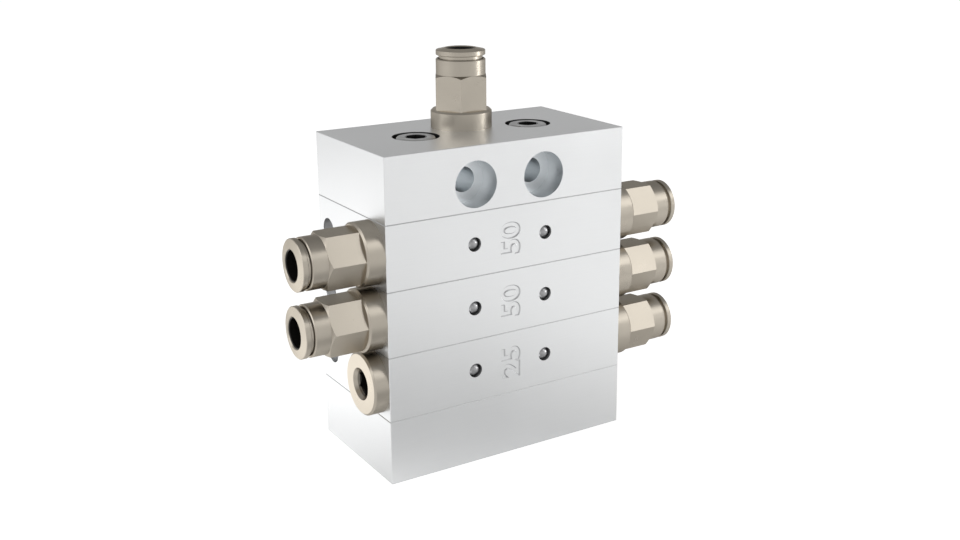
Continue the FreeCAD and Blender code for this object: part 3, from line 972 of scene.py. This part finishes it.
@dataclass
class Fittings:
    """The push-in fittings and the closure plug, with painted shade in their bores and painted
    light on their end faces.
    """

    softener: Softener
    colour: Triple = (0.415, 0.378, 0.322)
    roughness: float = 0.30
    port_centre: Triple = (0.0, -9.2 * MM, 49.0 * MM)
    port_pitch: float = 14.0 * MM
    inlet_centre: Triple = (0.0, 4.1 * MM, 0.0)
    # where the rings' bores and the plug's socket get painted shade
    bore_radius: float = 3.3 * MM
    socket_radius: float = 3.0 * MM
    socket_start: float = -31.6 * MM
    inlet_painted_shade_below: float = 87.15 * MM
    # how much lighter the end faces are painted: painted light
    body_end_face_light: float = 1.3
    ring_end_face_light: float = 1.38
    plug_end_face_light: float = 1.6

    def plates(self) -> dict[str, bpy.types.Material]:
        """The nickel finish for each kind of piece: bodies, rings and the plug, which differ in the
        painted light on their end faces and the painted shade in their bores.

        Returns:
            Materials by kind.
        """
        across = {"axis": Axis.ACROSS, "centre": self.port_centre, "repeat": self.port_pitch}
        upright = {"axis": Axis.UPRIGHT, "centre": self.inlet_centre, "repeat": 1.0}
        made = {}
        kinds = (
            ("body", 0.0, self.body_end_face_light),
            ("ring", self.bore_radius, self.ring_end_face_light),
            ("plug", self.socket_radius, self.plug_end_face_light),
        )
        for kind, bore, gain in kinds:
            for way, facts in (("across", across), ("upright", upright)):
                name = f"nickel_{kind}_{way}"
                start = self.socket_start if kind == "plug" else -1.0
                end = self.inlet_painted_shade_below if kind == "ring" and way == "upright" else 0.0
                made[name] = NickelPlate(
                    name,
                    self.colour,
                    self.roughness,
                    bore_radius=bore,
                    bore_start=start,
                    bore_end=end,
                    end_face_light_gain=gain,
                    **facts,
                ).material()
        return made

    def build(self, nodes: dict[str, bpy.types.Object]) -> None:
        """Dresses every fitting piece.

        Args:
            nodes: The frame's nodes.
        """
        plates = self.plates()
        for name, node in nodes.items():
            way = "upright" if name.startswith("inlet_fitting") else "across"
            if name.endswith("_body"):
                kind = "body"
            elif name.endswith("_release_ring"):
                kind = "ring"
            elif name == "closure_plug":
                kind = "plug"
            else:
                continue
            self.softener.merge(node)
            self.softener.soften(node, Edge.BROKEN)
            dress(node, plates[f"nickel_{kind}_{way}"])
            LOG.info("plated %s", name)


@dataclass
class SteelAndRubber:
    """Screws, balls, pistons, plugs and grip rings of steel, and every seal."""

    softener: Softener
    screws: GroundSteel
    bright: GroundSteel
    balls: GroundSteel
    rubber: SealRubber

    def build(self, nodes: dict[str, bpy.types.Object]) -> None:
        """Dresses the steel and rubber pieces.

        Args:
            nodes: The frame's nodes.
        """
        screw_material = self.screws.material()
        bright_material = self.bright.material()
        ball_material = self.balls.material()
        rubber_material = self.rubber.material()
        for name, node in nodes.items():
            if name.startswith("tie_screw"):
                material, edge = screw_material, Edge.BROKEN
            elif name.startswith("sealing_balls"):
                material, edge = ball_material, Edge.CRISP
            elif name.startswith(("metering_piston", "bore_plugs")) or name.endswith("grip_ring"):
                material, edge = bright_material, Edge.CRISP
            elif "seal" in name:
                material, edge = rubber_material, Edge.CRISP
            else:
                continue
            self.softener.merge(node)
            self.softener.soften(node, edge)
            dress(node, material)
            LOG.info("dressed %s", name)


@dataclass
class Lamp:
    """A soft rectangular studio lamp."""

    name: str
    place: Triple
    size: float
    power: float
    colour: Triple = (1.0, 1.0, 1.0)
    target: Triple = (0.0, 0.0, 0.035)

    def build(self) -> None:
        """Makes the lamp, turned to the object."""
        light = bpy.data.lights.new(self.name, "AREA")
        light.shape = "SQUARE"
        light.size = self.size
        light.energy = self.power
        light.color = self.colour
        lamp = placed(self.name, light)
        lamp.location = self.place
        lamp.rotation_mode = "QUATERNION"
        towards = Vector(self.target) - Vector(self.place)
        lamp.rotation_quaternion = towards.to_track_quat("-Z", "Y")


@dataclass(frozen=True)
class PaintedFloorPool:
    """A round pool on the floor that shows only in reflections: painted light where its gain is
    above zero, painted shadow where it is below.
    """

    place: Triple
    radius: float
    gain: float


@dataclass
class Studio:
    """White surroundings, a pale floor with pools of painted light and shadow that show only in
    reflections, and soft lamps.
    """

    floor_size: float = 6.0
    floor_colour: Triple = (0.86, 0.86, 0.86)
    floor_lift: float = 0.56
    floor_drop: float = 0.02 * MM
    mirrored_share: float = 0.60
    overhead: float = 0.42
    horizon: float = 1.0
    dimming: tuple[float, float] = (0.12, 0.8)
    dim_side: Triple = (0.55, 0.83, 0.0)
    dim_towards: tuple[float, float] = (0.25, 0.9)
    dim_above: tuple[float, float] = (0.06, 0.22)
    side_dimming: float = 0.44
    # pools of painted light left of, behind and to the front right of the block, and one of painted
    # shadow just in front of it, all seen only in reflections
    patches: tuple[PaintedFloorPool, ...] = (
        PaintedFloorPool((-0.055, 0.035, 0.0), 0.09, 2.1),
        PaintedFloorPool((-0.14, 0.17, 0.0), 0.18, 2.15),
        PaintedFloorPool((-0.01, -0.045, 0.0), 0.09, -1.3),
        PaintedFloorPool((0.09, -0.08, 0.0), 0.12, 0.8),
    )
    lamps: list[Lamp] = field(
        default_factory=lambda: [
            Lamp("right_softbox", (0.55, -0.60, 0.60), 0.5, 1.3),
            Lamp("low_right_softbox", (0.80, -0.46, 0.10), 0.20, 1.5),
            Lamp("left_softbox", (-0.60, 0.05, 0.35), 0.5, 1.05, target=(-0.05, 0.05, 0.03)),
        ]
    )

    def build(self) -> None:
        """Makes the world, the floor and the lamps."""
        self.world()
        self.floor()
        for lamp in self.lamps:
            lamp.build()
        bpy.context.scene.view_settings.view_transform = "Standard"

    def world(self) -> None:
        """White at the horizon and dimmer overhead, so that the metal shows its form."""
        world = bpy.data.worlds.new("studio_surroundings")
        world.use_nodes = True
        bpy.context.scene.world = world
        canvas = Canvas(world.node_tree)
        direction = canvas.add("ShaderNodeTexCoord").outputs["Generated"]
        height = canvas.parts(direction)["Z"]
        falling = canvas.span(height, *self.dimming, self.horizon, self.overhead)
        towards = canvas.vector("DOT_PRODUCT", direction, self.dim_side).outputs["Value"]
        side = canvas.span(towards, *self.dim_towards, 0.0, self.side_dimming)
        above = canvas.span(height, *self.dim_above, 0.0, 1.0)
        shade = canvas.math("SUBTRACT", 1.0, canvas.math("MULTIPLY", side, above))
        level = canvas.math("MULTIPLY", falling, shade)
        seen = canvas.add("ShaderNodeLightPath").outputs["Is Camera Ray"]
        level = canvas.math("MAXIMUM", level, seen)
        sky = canvas.add("ShaderNodeBackground", None, Strength=level)
        sky.inputs["Color"].default_value = (1.0, 1.0, 1.0, 1.0)
        canvas.add("ShaderNodeOutputWorld", None, Surface=sky.outputs[0])

    def floor(self) -> None:
        """A large pale floor that shows white where no shadow falls."""
        mesh = bpy.data.meshes.new("studio_floor")
        shape = bmesh.new()
        bmesh.ops.create_grid(shape, x_segments=1, y_segments=1, size=self.floor_size / 2)
        shape.to_mesh(mesh)
        shape.free()
        floor = placed("studio_floor", mesh)
        floor.location.z = -self.floor_drop
        material = bpy.data.materials.new("pale_floor")
        material.use_nodes = True
        canvas = Canvas(material.node_tree)
        matt = canvas.add("ShaderNodeBsdfDiffuse")
        matt.inputs["Color"].default_value = (*self.floor_colour, 1.0)
        path = canvas.add("ShaderNodeLightPath").outputs
        mirrored = canvas.math("MAXIMUM", path["Is Glossy Ray"], path["Is Transmission Ray"])
        mirrored = canvas.math("MULTIPLY", mirrored, self.mirrored_level(canvas))
        seen = canvas.math("MAXIMUM", path["Is Camera Ray"], mirrored)
        strength = canvas.math("MULTIPLY", seen, self.floor_lift)
        lift = canvas.add("ShaderNodeEmission", None, Strength=strength)
        both = canvas.add("ShaderNodeAddShader")
        canvas.feed(both.inputs[0], matt.outputs[0])
        canvas.feed(both.inputs[1], lift.outputs[0])
        canvas.add("ShaderNodeOutputMaterial", None, Surface=both.outputs[0])
        dress(floor, material)

    def mirrored_level(self, canvas: Canvas) -> Socket | float:
        """How much of the floor's lift shows in mirrors, with its pools of painted light and
        shadow.

        Args:
            canvas: The floor material's tree.

        Returns:
            The level.
        """
        where = canvas.add("ShaderNodeNewGeometry").outputs["Position"]
        level = self.mirrored_share
        for patch in self.patches:
            apart = canvas.vector("DISTANCE", where, patch.place).outputs["Value"]
            gain = canvas.span(apart, 0.0, patch.radius, self.mirrored_share * patch.gain, 0.0)
            level = canvas.math("ADD", level, gain)
        return level


@dataclass
class PhotoCamera:
    """The camera, from the view fitted to the photograph's edges and holes."""

    azimuth: float = -33.08
    elevation: float = 14.10
    distance: float = 273.4 * MM
    focal_pixels: float = 1213.0
    slide: tuple[float, float] = (9.83 * MM, 18.40 * MM)
    centre_pixels: tuple[float, float] = (515.9, 200.0)
    frame_pixels: tuple[float, float] = (960.0, 540.0)
    target: Triple = (0.0, 0.0, 35.0 * MM)
    sensor_width: float = 36.0
    clip: tuple[float, float] = (0.01, 20.0)

    def build(self) -> None:
        """Makes the camera and sets it as the scene's own."""
        turn, lift = math.radians(self.azimuth), math.radians(self.elevation)
        level = math.cos(lift)
        back = Vector((math.sin(turn) * level, -math.cos(turn) * level, math.sin(lift)))
        right = Vector((0.0, 0.0, 1.0)).cross(back).normalized()
        up = back.cross(right)
        place = Vector(self.target) + back * self.distance
        place += right * self.slide[0] + up * self.slide[1]
        data = bpy.data.cameras.new("photo_camera")
        data.sensor_width = self.sensor_width
        width, height = self.frame_pixels
        data.lens = self.focal_pixels * data.sensor_width / width
        data.shift_x = (width / 2 - self.centre_pixels[0]) / width
        data.shift_y = (self.centre_pixels[1] - height / 2) / width
        data.clip_start, data.clip_end = self.clip
        camera = placed("photo_camera", data)
        axes = Matrix((right, up, back)).transposed().to_4x4()
        camera.matrix_world = Matrix.Translation(place) @ axes
        bpy.context.scene.camera = camera


def main() -> None:
    """Builds the classes in order and reports each."""
    logging.basicConfig(level=logging.INFO, format="%(name)s: %(message)s")
    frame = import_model()
    nodes = frame["nodes"]
    softener = Softener()
    BlockSections(
        MilledAluminium("milled_aluminium", (0.73, 0.737, 0.74), 0.36),
        # darker copy of the aluminium for the engraved numbers' walls: painted shade
        MilledAluminium("engraved_walls_painted_shade", (0.56, 0.565, 0.57), 0.45),
        softener,
    ).build(nodes)
    Fittings(softener).build(nodes)
    SteelAndRubber(
        softener,
        # the screws' hex sockets get painted shade
        GroundSteel("screw_steel", (0.44, 0.44, 0.44), 0.34, socket_radius=2.36 * MM),
        GroundSteel("bright_steel", (0.55, 0.55, 0.56), 0.16, tarnish=0.15),
        # darker copy of the bright steel for the sealing balls: painted shade for balls sitting in
        # their drillings
        GroundSteel("ball_steel", (0.36, 0.36, 0.365), 0.33, tarnish=0.1),
        SealRubber("seal_rubber", (0.03, 0.03, 0.03), 0.6),
    ).build(nodes)
    Studio().build()
    PhotoCamera().build()
    LOG.info("divider block dressed")


if __name__ == "__main__":
    main()
